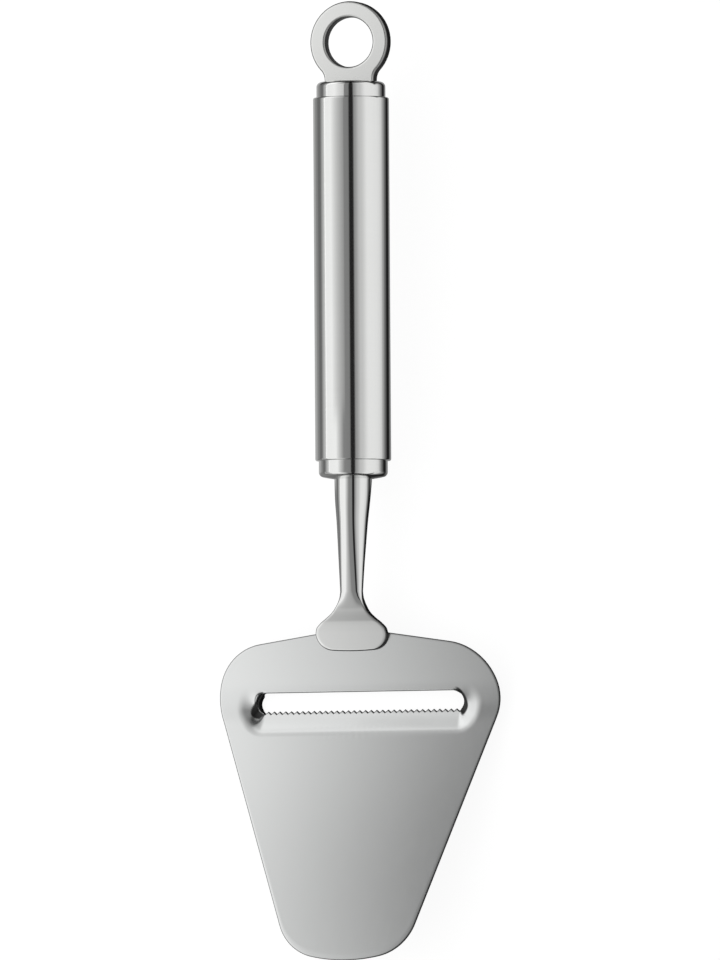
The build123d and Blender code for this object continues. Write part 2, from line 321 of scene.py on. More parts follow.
def makeFloor(s):
    pick()
    bpy.ops.mesh.primitive_plane_add(size=s["floorSize"])
    floor = bpy.context.active_object
    floor.name = "studioFloor"
    paper = bpy.data.materials.new("floorPaper")
    paper.use_nodes = True
    nodes, links = paper.node_tree.nodes, paper.node_tree.links
    shader = nodes["Principled BSDF"]
    shader.inputs["Roughness"].default_value = s["paperRoughness"]
    shader.inputs["Specular IOR Level"].default_value = 0.0
    # the camera sees white paper with a light shadow; polished metal sees a painted reflection, greys swept
    # across the floor whose dark bands are painted shade
    lightPath = nodes.new("ShaderNodeLightPath")
    coords = nodes.new("ShaderNodeTexCoord")
    split = nodes.new("ShaderNodeSeparateXYZ")
    links.new(coords.outputs["Object"], split.inputs["Vector"])
    across = nodes.new("ShaderNodeMapRange")
    across.inputs["From Min"].default_value = -s["sweepReach"]
    across.inputs["From Max"].default_value = s["sweepReach"]
    links.new(split.outputs["X"], across.inputs["Value"])
    swept = None
    for zone in s["paintedReflectionZones"]:
        ramp = toneRamp(nodes, zone["tones"], s["sweepReach"])
        links.new(across.outputs["Result"], ramp.inputs["Fac"])
        swept = blendZone(nodes, links, zone, split.outputs["Y"], swept, ramp.outputs["Color"])
    glowColour = nodes.new("ShaderNodeMix")
    glowColour.data_type = "RGBA"
    glowColour.inputs["B"].default_value = (s["seenGlow"],) * 3 + (1,)
    links.new(lightPath.outputs["Is Camera Ray"], glowColour.inputs["Factor"])
    links.new(swept, glowColour.inputs["A"])
    links.new(glowColour.outputs["Result"], shader.inputs["Emission Color"])
    glow = nodes.new("ShaderNodeMath")
    glow.operation = "MAXIMUM"
    links.new(lightPath.outputs["Is Camera Ray"], glow.inputs[0])
    links.new(lightPath.outputs["Is Glossy Ray"], glow.inputs[1])
    links.new(glow.outputs["Value"], shader.inputs["Emission Strength"])
    paint = nodes.new("ShaderNodeMix")
    paint.data_type = "RGBA"
    paint.inputs["A"].default_value = (*s["floorColour"], 1)
    paint.inputs["B"].default_value = (*s["seenColour"], 1)
    links.new(lightPath.outputs["Is Camera Ray"], paint.inputs["Factor"])
    # to polished metal the paper shows only the painted reflection, never its own lit colour
    unlit = nodes.new("ShaderNodeMix")
    unlit.data_type = "RGBA"
    unlit.inputs["B"].default_value = (0, 0, 0, 1)
    links.new(lightPath.outputs["Is Glossy Ray"], unlit.inputs["Factor"])
    links.new(paint.outputs["Result"], unlit.inputs["A"])
    links.new(unlit.outputs["Result"], shader.inputs["Base Color"])
    floor.data.materials.append(paper)


def makeSoftbox(s):
    # a lamp to the left of the handle whose light fades toward its right edge
    data = bpy.data.lights.new("leftSoftbox", "AREA")
    data.shape = "RECTANGLE"
    data.size, data.size_y = s["across"], s["along"]
    data.energy = math.pi * s["across"] * s["along"]    # one unit of strength is then plain white
    data.use_nodes = True
    nodes, links = data.node_tree.nodes, data.node_tree.links
    emission = nodes["Emission"]
    geometry = nodes.new("ShaderNodeNewGeometry")
    split = nodes.new("ShaderNodeSeparateXYZ")
    links.new(geometry.outputs["Position"], split.inputs["Vector"])
    light = None
    for zone in s["fades"]:
        fade = nodes.new("ShaderNodeMapRange")
        fade.inputs["From Min"].default_value = zone["darkAt"]
        fade.inputs["From Max"].default_value = zone["brightAt"]
        fade.inputs["To Max"].default_value = zone.get("strength", s["strength"])
        links.new(split.outputs["X"], fade.inputs["Value"])
        light = blendZone(nodes, links, zone, split.outputs["Y"], light, fade.outputs["Result"])
    links.new(light, emission.inputs["Strength"])
    lamp = bpy.data.objects.new("leftSoftbox", data)
    lamp.location = (s["right"] - s["across"] / 2, s["middle"], s["height"])
    lamp.visible_camera = False
    bpy.context.scene.collection.objects.link(lamp)


makeWorld()
makeFloor(studio)
makeSoftbox(softbox)
bpy.context.scene.view_settings.view_transform = "Standard"

print("materials")


def makeSteelGrain():
    # one effect for every steel: fine grain, faint clouds, and marked edges that are duller and darkened
    # with painted shade
    group = bpy.data.node_groups.new("steelGrain", "ShaderNodeTree")
    sockets = [
        ("Coordinates", "INPUT", "NodeSocketVector"), ("Place", "INPUT", "NodeSocketVector"),
        ("Edge", "INPUT", "NodeSocketFloat"), ("Colour", "INPUT", "NodeSocketColor"),
        ("Painted Edge Shade", "INPUT", "NodeSocketColor"),
        ("Colour Swing", "INPUT", "NodeSocketFloat"), ("Roughness", "INPUT", "NodeSocketFloat"),
        ("Roughness Swing", "INPUT", "NodeSocketFloat"), ("Colour", "OUTPUT", "NodeSocketColor"),
        ("Roughness", "OUTPUT", "NodeSocketFloat"), ("Height", "OUTPUT", "NodeSocketFloat"),
    ]
    for name, way, kind in sockets:
        group.interface.new_socket(name, in_out=way, socket_type=kind)
    nodes, links = group.nodes, group.links
    given = nodes.new("NodeGroupInput")
    result = nodes.new("NodeGroupOutput")
    grain = nodes.new("ShaderNodeTexNoise")
    grain.inputs["Scale"].default_value = grainLook["grainScale"]
    grain.inputs["Detail"].default_value = grainLook["grainDetail"]
    clouds = nodes.new("ShaderNodeTexNoise")
    clouds.inputs["Scale"].default_value = grainLook["cloudScale"]
    clouds.inputs["Detail"].default_value = grainLook["cloudDetail"]
    links.new(given.outputs["Coordinates"], grain.inputs["Vector"])
    links.new(given.outputs["Place"], clouds.inputs["Vector"])
    mixed = nodes.new("ShaderNodeMix")
    mixed.inputs["Factor"].default_value = grainLook["cloudShare"]
    links.new(grain.outputs["Fac"], mixed.inputs["A"])
    links.new(clouds.outputs["Fac"], mixed.inputs["B"])
    centred = nodes.new("ShaderNodeMath")
    centred.operation = "SUBTRACT"
    centred.inputs[1].default_value = grainLook["middle"]
    links.new(mixed.outputs["Result"], centred.inputs[0])
    swung = []
    for swing in ("Colour Swing", "Roughness Swing"):
        times = nodes.new("ShaderNodeMath")
        times.operation = "MULTIPLY_ADD"
        times.inputs[2].default_value = 1.0
        links.new(centred.outputs["Value"], times.inputs[0])
        links.new(given.outputs[swing], times.inputs[1])
        swung.append(times.outputs["Value"])
    tone = nodes.new("ShaderNodeVectorMath")
    tone.operation = "SCALE"
    links.new(given.outputs["Colour"], tone.inputs["Vector"])
    links.new(swung[0], tone.inputs["Scale"])
    rough = nodes.new("ShaderNodeMath")
    rough.operation = "MULTIPLY"
    links.new(given.outputs["Roughness"], rough.inputs[0])
    links.new(swung[1], rough.inputs[1])
    # painted shade: marked edges turn toward a near-black colour
    shade = nodes.new("ShaderNodeMix")
    shade.data_type = "RGBA"
    links.new(given.outputs["Edge"], shade.inputs["Factor"])
    links.new(tone.outputs["Vector"], shade.inputs["A"])
    links.new(given.outputs["Painted Edge Shade"], shade.inputs["B"])
    dull = nodes.new("ShaderNodeMath")
    dull.operation = "MULTIPLY_ADD"
    dull.inputs[1].default_value = grainLook["edgeRoughness"]
    links.new(given.outputs["Edge"], dull.inputs[0])
    links.new(rough.outputs["Value"], dull.inputs[2])
    links.new(shade.outputs["Result"], result.inputs["Colour"])
    links.new(dull.outputs["Value"], result.inputs["Roughness"])
    links.new(grain.outputs["Fac"], result.inputs["Height"])
    return group


grainLook = {
    "grainScale": 900.0,
    "grainDetail": 3.0,
    "cloudScale": 45.0,
    "cloudDetail": 2.0,
    "cloudShare": 0.35,
    "middle": 0.5,
    # near-black painted shade for marked edges
    "edgeColour": (0.05, 0.05, 0.05),
    "edgeRoughness": 0.15,
    "bumpDistance": 0.02 * mm,
}
steelGrain = makeSteelGrain()


def steel(name, colour, roughness, grain, colourSwing, roughSwing, bump):
    # grain stretches the pattern along X, Y and Z: a small number draws it out that way
    material = bpy.data.materials.new(name)
    material.use_nodes = True
    nodes, links = material.node_tree.nodes, material.node_tree.links
    shader = nodes["Principled BSDF"]
    shader.inputs["Metallic"].default_value = 1.0
    coords = nodes.new("ShaderNodeTexCoord")
    edge = nodes.new("ShaderNodeAttribute")
    edge.attribute_name = "edge"
    drawn = nodes.new("ShaderNodeMapping")
    drawn.inputs["Scale"].default_value = grain
    effect = nodes.new("ShaderNodeGroup")
    effect.node_tree = steelGrain
    effect.inputs["Colour"].default_value = (*colour, 1)
    effect.inputs["Painted Edge Shade"].default_value = (*grainLook["edgeColour"], 1)
    effect.inputs["Colour Swing"].default_value = colourSwing
    effect.inputs["Roughness"].default_value = roughness
    effect.inputs["Roughness Swing"].default_value = roughSwing
    height = nodes.new("ShaderNodeBump")
    height.inputs["Strength"].default_value = bump
    height.inputs["Distance"].default_value = grainLook["bumpDistance"]
    links.new(coords.outputs["Object"], drawn.inputs["Vector"])
    links.new(drawn.outputs["Vector"], effect.inputs["Coordinates"])
    links.new(coords.outputs["Object"], effect.inputs["Place"])
    links.new(edge.outputs["Fac"], effect.inputs["Edge"])
    links.new(effect.outputs["Colour"], shader.inputs["Base Color"])
    links.new(effect.outputs["Roughness"], shader.inputs["Roughness"])
    links.new(effect.outputs["Height"], height.inputs["Height"])
    links.new(height.outputs["Normal"], shader.inputs["Normal"])
    return material


# blade, ring: fine satin; handle and caps: bright, with grain drawn round the tube; neck: polished;
# welds: dull and uneven
finishes = {
    "blade_steel": steel("bladeSteel", (0.76, 0.77, 0.765), 0.2, (1, 0.25, 1), 0.04, 0.3, 0.02),
    "neck_steel": steel("neckSteel", (0.79, 0.795, 0.785), 0.035, (1, 0.4, 1), 0.03, 0.3, 0.006),
    "cap_steel": steel("capSteel", (0.78, 0.785, 0.775), 0.08, (0.15, 2.5, 0.15), 0.05, 0.4, 0.02),
    "tube_steel": steel("tubeSteel", (0.78, 0.785, 0.775), 0.08, (0.15, 2.5, 0.15), 0.06, 0.4, 0.03),
    "ring_steel": steel("ringSteel", (0.89, 0.895, 0.88), 0.28, (1, 1, 1), 0.03, 0.2, 0.015),
    "weld_steel": steel("weldSteel", (0.62, 0.6, 0.57), 0.38, (1, 1, 1), 0.3, 0.5, 0.6),
}

print("handle tube")

handleTube = {
    "radius": 9.0 * mm,
    "wall": 0.8 * mm,
    "length": 86.2 * mm,
    "rim": 0.4 * mm,
    "rimSteps": 4,
    "sides": 160,
}


def makeHandleTube(t):
    inner = t["radius"] - t["wall"]
    outline = [(inner, 0), (t["radius"], 0), (t["radius"], t["length"]), (inner, t["length"])]
    tube = turnedPiece("handleTube", outline, t["sides"])
    smoothAll(tube, smoothUnder["turned"])
    softenEdges(tube, t["rim"], t["rimSteps"])
    finishPiece(tube, "handle_tube", finishes["tube_steel"])


makeHandleTube(handleTube)

print("end caps")

endCap = {
    "radius": 8.18 * mm,
    "wall": 1.0 * mm,
    "rise": 3.6 * mm,
    "upperCrown": 0.5 * mm,
    "lowerCrown": 1.0 * mm,
    "round": 1.2 * mm,
    "skirt": 9.0 * mm,
    "roundSteps": 8,
    "crownSteps": 10,
    "sides": 144,
}


def makeCap(c, node, start, way, crown):
    # outline from the skirt up the side, round the rim, over the crown, and back inside
    radius, rise = c["radius"], c["rise"]
    arc = (radius**2 + crown**2) / (2 * crown)
    centre = rise + crown - arc
    # the rim's round touches the side and the crown from inside
    rimX = radius - c["round"]
    rimY = centre + math.sqrt((arc - c["round"]) ** 2 - rimX**2)
    top = math.atan2(rimX, rimY - centre)
    outline = [(radius, -c["skirt"])]
    for step in range(c["roundSteps"] + 1):
        angle = math.pi / 2 - (math.pi / 2 - top) * step / c["roundSteps"]
        outline.append((rimX + c["round"] * math.sin(angle), rimY + c["round"] * math.cos(angle)))
    for step in range(1, c["crownSteps"] + 1):
        angle = top * (1 - step / c["crownSteps"])
        outline.append((arc * math.sin(angle), centre + arc * math.cos(angle)))
    inner, under = radius - c["wall"], rise - c["wall"]
    outline += [(0, under), (inner, under), (inner, -c["skirt"])]
    outline = [(x, start + way * y) for x, y in outline]
    cap = turnedPiece(node + "Shell", outline, c["sides"])
    smoothAll(cap, smoothUnder["turned"])
    finishPiece(cap, node, finishes["cap_steel"])


makeCap(endCap, "upper_cap", handleTube["length"], 1, endCap["upperCrown"])
makeCap(endCap, "lower_cap", 0, -1, endCap["lowerCrown"])

print("hanging ring")

hangingRing = {
    "radius": 9.7 * mm,
    "hole": 5.9 * mm,
    "thickness": 3.2 * mm,
    "reach": 99.4 * mm,
    "stem": 6.15 * mm,
    "blend": 3.5 * mm,
    "foot": 15.0 * mm,
    "edge": 0.7 * mm,
    "edgeSteps": 5,
    "edgeShadePower": 4,
    "sides": 180,
}


def ringOutline(r, angle):
    # distance from the ring's centre to its outline, by the angle from the stem
    angle = abs(math.remainder(angle, 2 * math.pi))
    across, along = math.sin(angle), math.cos(angle)
    blendX = r["stem"] + r["blend"]
    blendY = math.sqrt((r["radius"] + r["blend"]) ** 2 - blendX**2)
    if angle < math.atan2(r["stem"], r["foot"]):
        return r["foot"] / along
    if angle < math.atan2(r["stem"], blendY):
        return r["stem"] / across
    if angle < math.atan2(blendX, blendY):
        toward = across * blendX + along * blendY
        return toward - math.sqrt(toward**2 - (r["radius"] + r["blend"]) ** 2 + r["blend"] ** 2)
    return r["radius"]


def makeHangingRing(r):
    pick()
    bpy.ops.mesh.primitive_circle_add(vertices=r["sides"], radius=r["hole"], fill_type="NOTHING")
    ring = bpy.context.active_object
    ring.name = "hangingEye"
    bpy.ops.object.mode_set(mode="EDIT")
    bpy.ops.mesh.select_all(action="SELECT")
    bpy.ops.mesh.extrude_edges_move(TRANSFORM_OT_translate={"value": (0, 0, 0)})
    bpy.ops.object.mode_set(mode="OBJECT")
    for vertex in ring.data.vertices:
        if vertex.select:
            angle = math.atan2(vertex.co.x, -vertex.co.y)
            reach = ringOutline(r, angle)
            vertex.co.x, vertex.co.y = reach * math.sin(angle), -reach * math.cos(angle)
    bpy.ops.object.mode_set(mode="EDIT")
    bpy.ops.mesh.select_all(action="SELECT")
    bpy.ops.transform.translate(value=(0, r["reach"], -r["thickness"] / 2))
    bpy.ops.mesh.extrude_region_move(TRANSFORM_OT_translate={"value": (0, 0, r["thickness"])})
    bpy.ops.mesh.select_all(action="SELECT")
    bpy.ops.mesh.normals_make_consistent(inside=False)
    bpy.ops.object.mode_set(mode="OBJECT")
    smoothAll(ring, smoothUnder["drawn"])
    softenEdges(ring, r["edge"], r["edgeSteps"])
    # painted shade: the rounded edge is painted darker toward the sheared side
    heights = [(abs(vertex.co.z) - r["thickness"] / 2) / r["edge"] + 1 for vertex in ring.data.vertices]
    markEdgeShadeAndDullness(ring, [1 - max(height, 0) ** r["edgeShadePower"] for height in heights])
    finishPiece(ring, "hanging_ring", finishes["ring_steel"])


makeHangingRing(hangingRing)

print("blade plate")

plateHalf = 35.2
tipHalf = plateHalf * 0.395
bladePlate = {
    # sizes in millimetres until the points are placed; distances run from the tube's lower end on
    "gauge": 1.0,
    "rear": 39.5,
    "rearFall": 8.5,
    "halfWidth": plateHalf,
    "tip": 118.4,
    "tipHalfWidth": tipHalf,
    "tipBow": tipHalf * 2.83,
    "shoulder": plateHalf * 0.38,
    "tipCorner": tipHalf * 0.84,
    "bend": {"place": 58.2, "drop": 3.4, "radius": 20.6, "rearSlope": 16.5, "frontSlope": 11.8},
    "slot": {"rear": 54.6, "gap": 4.25, "half": 25.6},
    "teeth": {"count": 34, "pitch": 1.43, "depth": 0.65, "flank": 3},
    # the pressed lip and the dish round each of its ends, whose rim rolls down into the slot
    "lip": {"depth": 2.2, "ramp": 7.0, "shelf": 0.85, "half": 24.4, "ease": 0.28},
    "dish": {"depth": 0.9, "reach": 6.4, "frontTurn": 70.0, "rearTurn": 75.0, "rearFade": 160.0},
    "roll": {"radius": 0.5, "steepest": 68.0, "width": 0.9, "fade": 60.0},
    "ground": {"run": 1.9, "land": 0.3, "below": 0.2, "overlap": 0.1},
    "rim": 0.3,
    "slotRim": 0.28,
    "toothRim": 0.24,
    "wallLean": 0.35,
    # painted shade on the teeth and round each end of the slot, wider where the roll meets the lip
    "toothShade": 0.34,
    "slotEndShade": {
        "left": (0.6, 1.9), "right": (1.2, 0.5), "turn": 42.0, "spread": 32.0, "fade": 25.0, "soft": 0.25,
    },
    "slotRimShade": {"to": 0.5, "slope": 3.0},
    "rimSteps": 4,
    "rows": 60,
    "crowding": 1.5,
    "endSteps": 26,
    "rearSteps": 110,
    "cornerSteps": 60,
    "bowSteps": 40,
    "fineSteps": 4000,
    # where the outline is parted: on the shoulder, as a share of the width, and on the side, past the teeth
    "shoulderShare": 0.80,
    "sideRun": 9.0,
}


def softStep(share):
    return (1 - np.cos(np.pi * np.clip(share, 0, 1))) / 2


def softRamp(share, ease):
    share = np.clip(share, 0, 1)
    start = share**2 / (2 * ease) / (1 - ease)
    end = 1 - (1 - share) ** 2 / (2 * ease) / (1 - ease)
    return np.where(share < ease, start, np.where(share > 1 - ease, end, (share - ease / 2) / (1 - ease)))


def sheetHeight(p, y):
    bend = p["bend"]
    along = y + bend["place"]
    rear, front = math.radians(bend["rearSlope"]), math.radians(bend["frontSlope"])
    rearRun, frontRun = bend["radius"] * math.sin(rear), bend["radius"] * math.sin(front)
    inside = bend["radius"] - np.sqrt(bend["radius"] ** 2 - np.clip(along, -frontRun, rearRun) ** 2)
    beyond = np.maximum(along - rearRun, 0) * math.tan(rear)
    beyond = beyond + np.maximum(-along - frontRun, 0) * math.tan(front)
    return inside + beyond - bend["drop"]


def pressDepth(p, x, y):
    # how far the sheet is pressed down: a straight ramp before the teeth and a dish round each end
    lip, slot, dish = p["lip"], p["slot"], p["dish"]
    lipTop = -slot["rear"] - slot["gap"] + lip["shelf"]
    beside = np.maximum(np.abs(x) - lip["half"], 0)
    before = lipTop - y
    away = np.hypot(beside, before)
    turn = np.degrees(np.arctan2(beside, before))  # 0 toward the tip, 180 toward the handle
    front = softStep(1 - turn / dish["frontTurn"])
    behind = softStep((dish["rearFade"] - turn) / (dish["rearFade"] - dish["rearTurn"]))
    depth = (dish["depth"] + (lip["depth"] - dish["depth"]) * front) * behind
    reach = dish["reach"] + (lip["ramp"] - dish["reach"]) * front
    return depth * softRamp((reach - away) / reach, lip["ease"])


def rollDepth(p, x, y):
    # the rim of the slot's round ends turns down into the slot, first in a small round, then steeply
    slot, roll = p["slot"], p["roll"]
    middle = slot["half"] - slot["gap"] / 2
    beside = np.maximum(np.abs(x) - middle, 0)
    before = -slot["rear"] - slot["gap"] / 2 - y
    gap = np.hypot(beside, before) - slot["gap"] / 2
    turn = np.degrees(np.arctan2(beside, before))
    share = softStep(turn / roll["fade"]) * softStep((180 - turn) / roll["fade"])
    steep = math.radians(roll["steepest"])
    run = np.maximum(roll["width"] - gap, 0)
    curved = np.minimum(run, roll["radius"] * math.sin(steep))
    depth = roll["radius"] - np.sqrt(roll["radius"] ** 2 - curved**2) + (run - curved) * math.tan(steep)
    return depth * share


def topHeight(p, x, y):
    return sheetHeight(p, y) - pressDepth(p, x, y) - rollDepth(p, x, y)


def underHeight(p, x, y):
    # the lip is ground from below to a narrow land behind the teeth
    slot, ground = p["slot"], p["ground"]
    edge = -slot["rear"] - slot["gap"]
    lipHeight = topHeight(p, np.zeros(1), np.full(1, edge))[0]
    slope = (p["gauge"] - ground["land"]) / ground["run"]
    wedge = lipHeight - ground["land"] - np.maximum(edge - y, 0) * slope
    full = topHeight(p, x, y) - p["gauge"]
    beside = np.abs(x) < p["lip"]["half"] + ground["run"]
    near = beside & (y > edge - ground["run"]) & (y < edge + ground["overlap"])
    full = np.where(near, np.maximum(full, wedge), full)
    # nothing reaches below the lip's own underside
    return np.maximum(full, lipHeight - ground["land"] - ground["below"])


def arcPoints(centre, radius, start, end, steps):
    angles = np.linspace(start, end, steps)
    return [(centre[0] + radius * math.cos(a), centre[1] + radius * math.sin(a)) for a in angles]


def spread(points, count):
    # count + 1 points at equal spacing along a line of points
    points = np.array(points)
    lengths = np.concatenate([[0], np.cumsum(np.hypot(*np.diff(points, axis=0).T))])
    places = np.linspace(0, lengths[-1], count + 1)
    return np.stack([np.interp(places, lengths, points[:, axis]) for axis in (0, 1)], 1)


def roundCorner(before, corner, after, radius, steps):
    # arc that touches both lines
    before, corner, after = (np.array(point, float) for point in (before, corner, after))
    one, two = before - corner, after - corner
    one, two = one / np.linalg.norm(one), two / np.linalg.norm(two)
    half = math.acos(np.dot(one, two)) / 2
    middle = corner + (one + two) / np.linalg.norm(one + two) * radius / math.sin(half)
    start = corner + one * radius / math.tan(half) - middle
    end = corner + two * radius / math.tan(half) - middle
    first = math.atan2(start[1], start[0])
    swing = math.remainder(math.atan2(end[1], end[0]) - first, 2 * math.pi)
    return arcPoints(middle, radius, first, first + swing, steps)


def plateEdge(p):
    # right half of the outline, from the middle of the rear edge round to the middle of the tip
    fall = math.tan(math.radians(p["rearFall"]))
    taper = (p["halfWidth"] - p["tipHalfWidth"]) / (p["tip"] - p["bend"]["place"])
    shoulderX = (p["halfWidth"] + (p["bend"]["place"] - p["rear"]) * taper) / (1 + fall * taper)
    shoulder = (shoulderX, -p["rear"] - shoulderX * fall)

    def side(y):
        return (p["halfWidth"] + (y + p["bend"]["place"]) * taper, y)

    half = roundCorner((0, -p["rear"]), shoulder, side(-p["tip"]), p["shoulder"], p["cornerSteps"])
    # the round tip corner touches the side line and lies inside the bow
    bow, corner = p["tipBow"], p["tipCorner"]
    bowY = bow - p["tip"]
    away = math.hypot(1, taper)
    sideX = p["halfWidth"] + (bowY + p["bend"]["place"]) * taper
    gap = sideX / away - corner
    normal = np.array([1, -taper]) / away
    along = np.array([-taper, -1]) / away
    reach = math.sqrt((bow - corner) ** 2 - gap**2)
    middle = np.array([0, bowY]) + normal * gap + along * reach
    outward = math.atan2(*(middle - np.array([0, bowY]))[::-1])
    first = math.atan2(normal[1], normal[0])
    half += arcPoints(middle, corner, first, outward, p["cornerSteps"])
    half += arcPoints((0, bowY), bow, outward, -math.pi / 2, p["bowSteps"])[1:]
    return [(0, -p["rear"])] + half


def plateLoops(p):
    # points round the slot and the points round the edge that they face
    slot, teeth = p["slot"], p["teeth"]
    front = -slot["rear"] - slot["gap"]
    toothEnd = teeth["count"] * teeth["pitch"] / 2
    rearX = slot["half"] - slot["gap"] / 2
    # the round end passes through the rear corner, the middle of the end and the first tooth's root
    one = np.array((rearX, -slot["rear"]))
    two = np.array((slot["half"], -slot["rear"] - slot["gap"] / 2))
    three = np.array((toothEnd, front - teeth["depth"]))
    rows = np.array([two - one, three - one])
    sums = np.array([(two @ two - one @ one), (three @ three - one @ one)]) / 2
    centre = np.linalg.solve(rows, sums)
    radius = np.linalg.norm(one - centre)
    startTurn = math.atan2(*(one - centre)[::-1])
    endTurn = math.atan2(*(three - centre)[::-1])
    endTurn = startTurn - ((startTurn - endTurn) % (2 * math.pi))
    rightEnd = arcPoints(centre, radius, startTurn, endTurn, p["endSteps"] + 1)
    row = [(toothEnd, front - teeth["depth"])]
    for tooth in range(teeth["count"]):
        for step in range(1, 2 * teeth["flank"] + 1):
            height = 1 - abs(step / teeth["flank"] - 1)
            across = toothEnd - (tooth + step / teeth["flank"] / 2) * teeth["pitch"]
            row.append((across, front - teeth["depth"] * (1 - height)))
    rear = [(-rearX + 2 * rearX * k / p["rearSteps"], -slot["rear"]) for k in range(p["rearSteps"] + 1)]
    leftEnd = [(-x, y) for x, y in rightEnd[::-1]]
    inner = np.array(rear[:-1] + rightEnd[:-1] + row[:-1] + leftEnd[:-1])
    # the outline is shared between the four runs at a shoulder and on each side
    half = plateEdge(p)
    fine = spread(half, p["fineSteps"])
    shoulderAt = int(np.argmax(fine[:, 0] > p["halfWidth"] * p["shoulderShare"]))
    sideAt = int(np.argmax(fine[:, 1] < front - p["sideRun"]))
    rearRun = np.concatenate([fine[shoulderAt:0:-1] * (-1, 1), fine[: shoulderAt + 1]])
    rightRun = fine[shoulderAt : sideAt + 1]
    tipRun = np.concatenate([fine[sideAt:], fine[-2 : sideAt - 1 : -1] * (-1, 1)])
    leftRun = rightRun[::-1] * (-1, 1)
    outer = np.concatenate(
        [
            spread(rearRun, p["rearSteps"])[:-1],
            spread(rightRun, p["endSteps"])[:-1],
            spread(tipRun, len(row) - 1)[:-1],
            spread(leftRun, p["endSteps"])[:-1],
        ]
    )
    isTooth = np.zeros(len(inner), bool)
    isTooth[len(rear) - 1 + p["endSteps"] : len(rear) - 1 + p["endSteps"] + len(row)] = True
    return inner, outer, isTooth


def outwardNormals(loop):
    # the loops run clockwise seen from above
    along = np.roll(loop, -1, 0) - np.roll(loop, 1, 0)
    normal = np.stack([-along[:, 1], along[:, 0]], 1)
    return normal / np.linalg.norm(normal, axis=1)[:, None]


def slotPaintedShade(p, marks, inner, isTooth, x, y, isTop):
    # spreads the marks of the loops over their points and adds the painted shade round the slot
    slot, end = p["slot"], p["slotEndShade"]
    away = np.hypot(x - inner[:, 0], y - inner[:, 1])
    middle = slot["half"] - slot["gap"] / 2
    beside = np.maximum(np.abs(inner[:, 0]) - middle, 0)
    turn = np.degrees(np.arctan2(beside, -slot["rear"] - slot["gap"] / 2 - inner[:, 1]))
    narrow, wide = np.where((inner[:, 0] < 0)[:, None], end["left"], end["right"]).T
    width = narrow + wide * np.exp(-(((turn - end["turn"]) / end["spread"]) ** 2))
    share = softStep(turn / end["fade"]) * softStep((180 - turn) / end["fade"]) * (beside > 0) * ~isTooth
    band = np.clip((width - away) / end["soft"], 0, 1)
    band = band * np.clip((away - p["slotRim"] / 2) / p["slotRim"] * 2, 0, 1)
    tooth = np.clip((p["toothShade"] - away) / end["soft"] * 2, 0, 1) * isTooth
    full = np.repeat(marks[:, None].astype(float), len(inner), 1)
    rim = np.arange(len(marks))[:, None] < p["rimSteps"]
    slotRimShade = p["slotRimShade"]
    full = np.where(rim, np.clip((slotRimShade["to"] - away / p["slotRim"]) * slotRimShade["slope"], 0, 1), full)
    near = isTop[:, None] & (away < end["left"][0] + end["left"][1])
    return np.where(near, np.maximum(full, np.maximum(band * share, tooth)), full)


def makeBladePlate(p):
    inner, outer, isTooth = plateLoops(p)
    innerOut = outwardNormals(inner)
    innerOut[isTooth] = (0, -1)
    innerRim = np.where(isTooth, p["toothRim"], p["slotRim"])[:, None]
    # the wall at each end of the slot leans in toward its foot
    slot = p["slot"]
    beside = softStep((np.abs(inner[:, 0]) - slot["half"] + slot["gap"] / 2) / slot["gap"] * 2)
    wallFoot = inner - innerOut * (p["wallLean"] * beside * ~isTooth)[:, None]
    outerOut = outwardNormals(outer)
    steps = p["rimSteps"]
    loops = []                      # place from above, depth of the rounding, on top, edge mark
    for k in range(steps):
        turn = math.pi / 2 * k / steps
        place = inner + innerOut * innerRim * (1 - math.cos(turn))
        loops.append((place, innerRim[:, 0] * (1 - math.sin(turn)), True, 1))
    startTop, endTop = inner + innerOut * innerRim, outer - outerOut * p["rim"]
    shares = [(k / p["rows"]) ** p["crowding"] for k in range(p["rows"] + 1)]
    for share in shares:
        loops.append((startTop + (endTop - startTop) * share, 0 * innerRim[:, 0], True, 0))
    for k in range(1, steps + 1):
        turn = math.pi / 2 * k / steps
        # painted shade grows over the outer rim's rounding
        mark = min(2 * k / steps, 1)
        place = outer - outerOut * p["rim"] * (1 - math.sin(turn))
        loops.append((place, np.full(len(outer), p["rim"] * (1 - math.cos(turn))), True, mark))
    for place, sink, _, mark in loops[:steps - 1 : -1]:
        loops.append((place, -sink, False, mark))
    # painted shade covers the slot's wall
    for k in range(steps):
        loops.append((wallFoot, 0 * innerRim[:, 0], False, 1))
    plan = np.stack([loop[0] for loop in loops])
    sink = np.stack([loop[1] for loop in loops])
    isTop = np.array([loop[2] for loop in loops])
    x, y = plan[..., 0], plan[..., 1]
    marks = slotPaintedShade(p, np.array([loop[3] for loop in loops]), inner, isTooth, x, y, isTop)
    z = np.where(isTop[:, None], topHeight(p, x, y), underHeight(p, x, y)) - sink
    points = np.stack([x, y, z], -1) * mm
    around, across = points.shape[1], points.shape[0]

    def pointAt(column, row):
        return points[row % across, column % around]

    def markAt(column, row):
        return marks[row % across, column % around]

    plate = gridPiece("bladeSheet", around, across, pointAt, markAt)
    smoothAll(plate, smoothUnder["drawn"])
    finishPiece(plate, "blade_plate", finishes["blade_steel"])


makeBladePlate(bladePlate)

print("neck")

